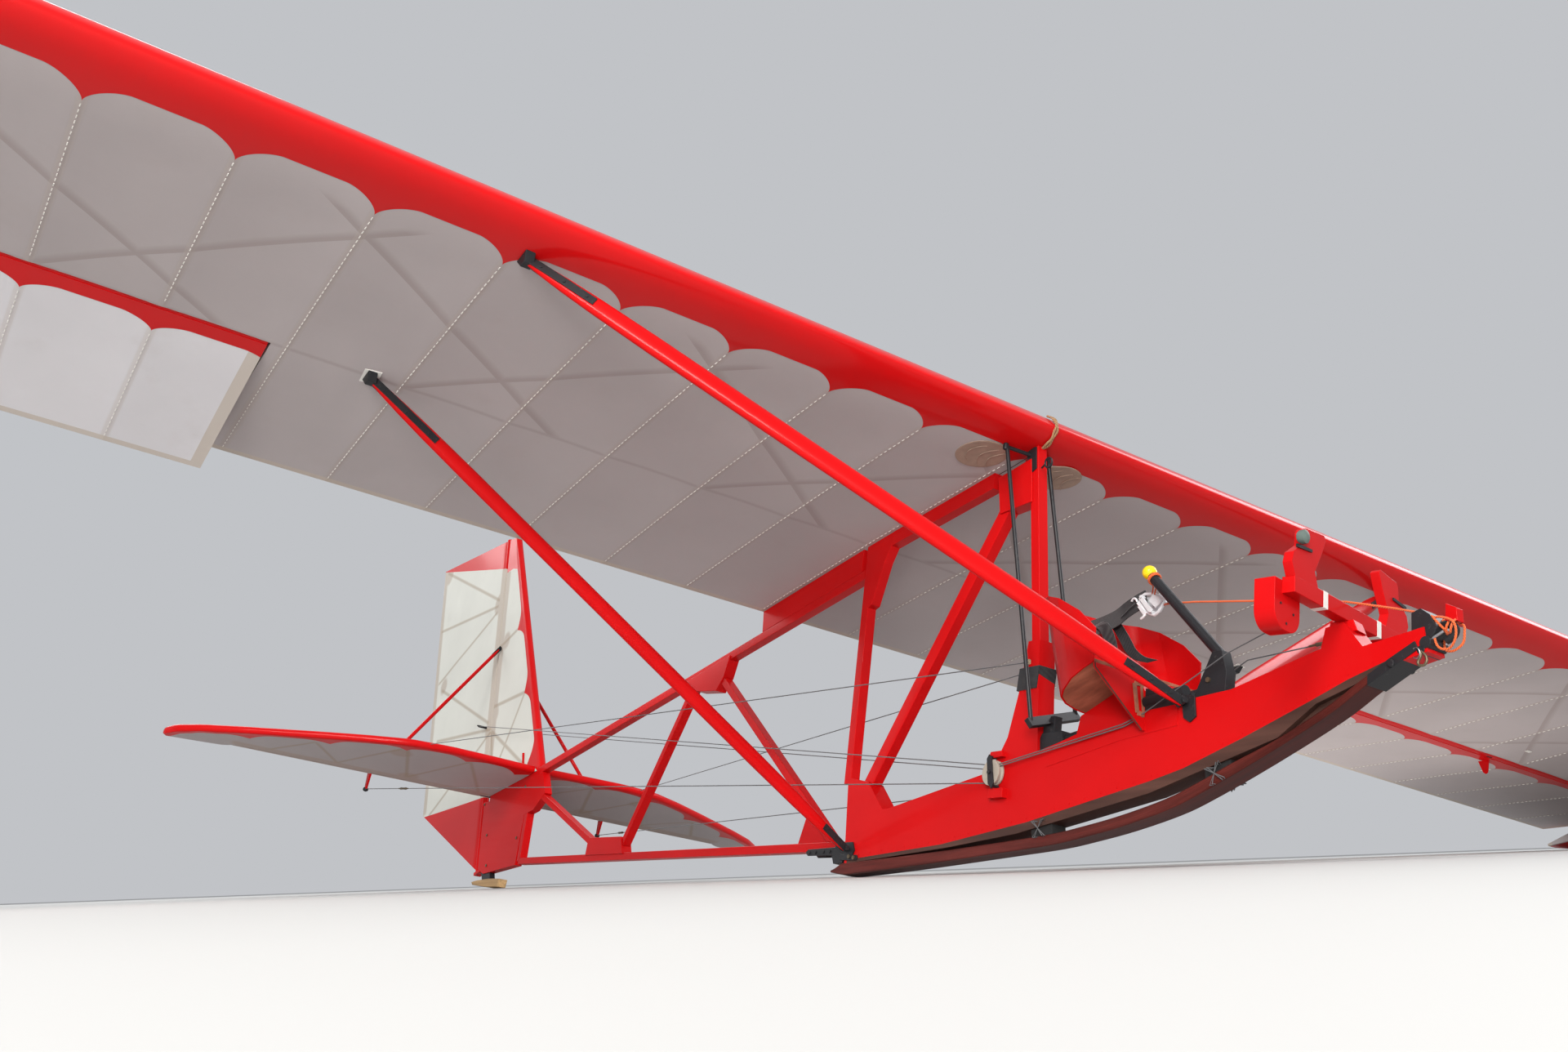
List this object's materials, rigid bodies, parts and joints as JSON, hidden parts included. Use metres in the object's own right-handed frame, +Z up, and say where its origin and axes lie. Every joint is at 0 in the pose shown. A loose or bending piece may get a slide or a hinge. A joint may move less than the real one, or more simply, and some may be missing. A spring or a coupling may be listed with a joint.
{
  "type": "primary training sailplane",
  "caption": "Open-frame training sailplane with a strut-braced high wing, lattice fuselage, open seat on a keel hull, skid and cruciform tail, parked on one wing tip.",
  "frame": {"origin": "centre of the bounding box at the level of the ground it stands on", "axes": "+X towards the nose, +Y towards the port wing tip along the ground, +Z up; the sailplane leans onto its port wing tip"},
  "size_m": [6.61, 10.2226, 2.2577],
  "materials": {
    "red_paint": "gloss red paint",
    "wing_fabric": "doped fabric, grey-lilac white",
    "tail_fabric": "doped fabric, cream and translucent",
    "dark_wood": "varnished dark laminate",
    "bare_wood": "bare plywood",
    "black_metal": "satin black",
    "steel": "bare steel",
    "yellow_knob": "gloss yellow",
    "webbing": "black webbing",
    "rubber": "matt black"
  },
  "bodies": {
    "airframe": {"wing_port": "wing_fabric", "wing_starboard": "wing_fabric", "hull": "red_paint", "mast": "red_paint", "mast_gusset": "red_paint", "rear_post": "red_paint", "main_diagonal": "red_paint", "root_rail_front": "red_paint", "root_rail_rear": "red_paint", "upper_boom": "red_paint", "lower_boom": "red_paint", "upper_gusset": "red_paint", "lower_gusset": "red_paint", "front_diagonal": "red_paint", "rear_diagonal": "red_paint", "tail_diagonal": "red_paint", "tail_panel": "red_paint", "tail_post": "red_paint", "fin": "tail_fabric", "stabiliser_port": "wing_fabric", "stabiliser_starboard": "wing_fabric", "front_strut_port": "red_paint", "front_strut_starboard": "red_paint", "rear_strut_port": "red_paint", "rear_strut_starboard": "red_paint", "front_fitting": "black_metal", "rear_fitting": "black_metal", "tail_strut_port": "red_paint", "tail_strut_starboard": "red_paint", "skid": "dark_wood", "skid_block_rear": "rubber", "skid_block_front": "rubber", "nose_rail": "bare_wood", "tail_skid_shoe": "bare_wood", "tail_skid_bracket": "black_metal", "seat_pan": "bare_wood", "seat_shell": "red_paint", "seat_bulkhead": "red_paint", "torque_tube": "black_metal", "stick_bracket": "black_metal", "stick": "black_metal", "stick_knob": "yellow_knob", "aileron_crank": "black_metal", "push_rod_port": "black_metal", "push_rod_starboard": "black_metal", "rudder_bar": "red_paint", "pedal_port": "red_paint", "pedal_starboard": "red_paint", "nose_hook": "black_metal", "cable_pulleys": "steel", "harness_strap": "webbing", "harness_buckle": "steel"},
    "aileron_port": {"aileron_port": "wing_fabric"},
    "aileron_starboard": {"aileron_starboard": "wing_fabric"},
    "elevator": {"elevator_port": "tail_fabric", "elevator_starboard": "tail_fabric", "elevator_torque_tube": "black_metal"},
    "rudder": {"rudder": "tail_fabric"}
  },
  "joints": [
    {"name": "aileron_starboard_hinge", "type": "hinge", "parent": "airframe", "child": "aileron_starboard", "pos_m": [1.13926, -3.3346, 1.76848], "axis": [0, 0.9814, -0.1918], "range_deg": [-16, 32]},
    {"name": "aileron_port_hinge", "type": "hinge", "parent": "airframe", "child": "aileron_port", "pos_m": [1.13926, 3.31946, 0.46777], "axis": [0, 0.9814, -0.1918], "range_deg": [-32, 16]},
    {"name": "elevator_hinge", "type": "hinge", "parent": "airframe", "child": "elevator", "pos_m": [-1.874, -0.14021, 0.43955], "axis": [0, 0.9814, -0.1918], "range_deg": [-42, 3]},
    {"name": "rudder_hinge", "type": "hinge", "parent": "airframe", "child": "rudder", "pos_m": [-2.075, -0.04132, 0.94547], "axis": [-0.2535, 0.1856, 0.9494], "range_deg": [-25, 25]}
  ],
  "couplings": [
    {"joint": "aileron_port_hinge", "follows": "aileron_starboard_hinge", "ratio": -1}
  ]
}
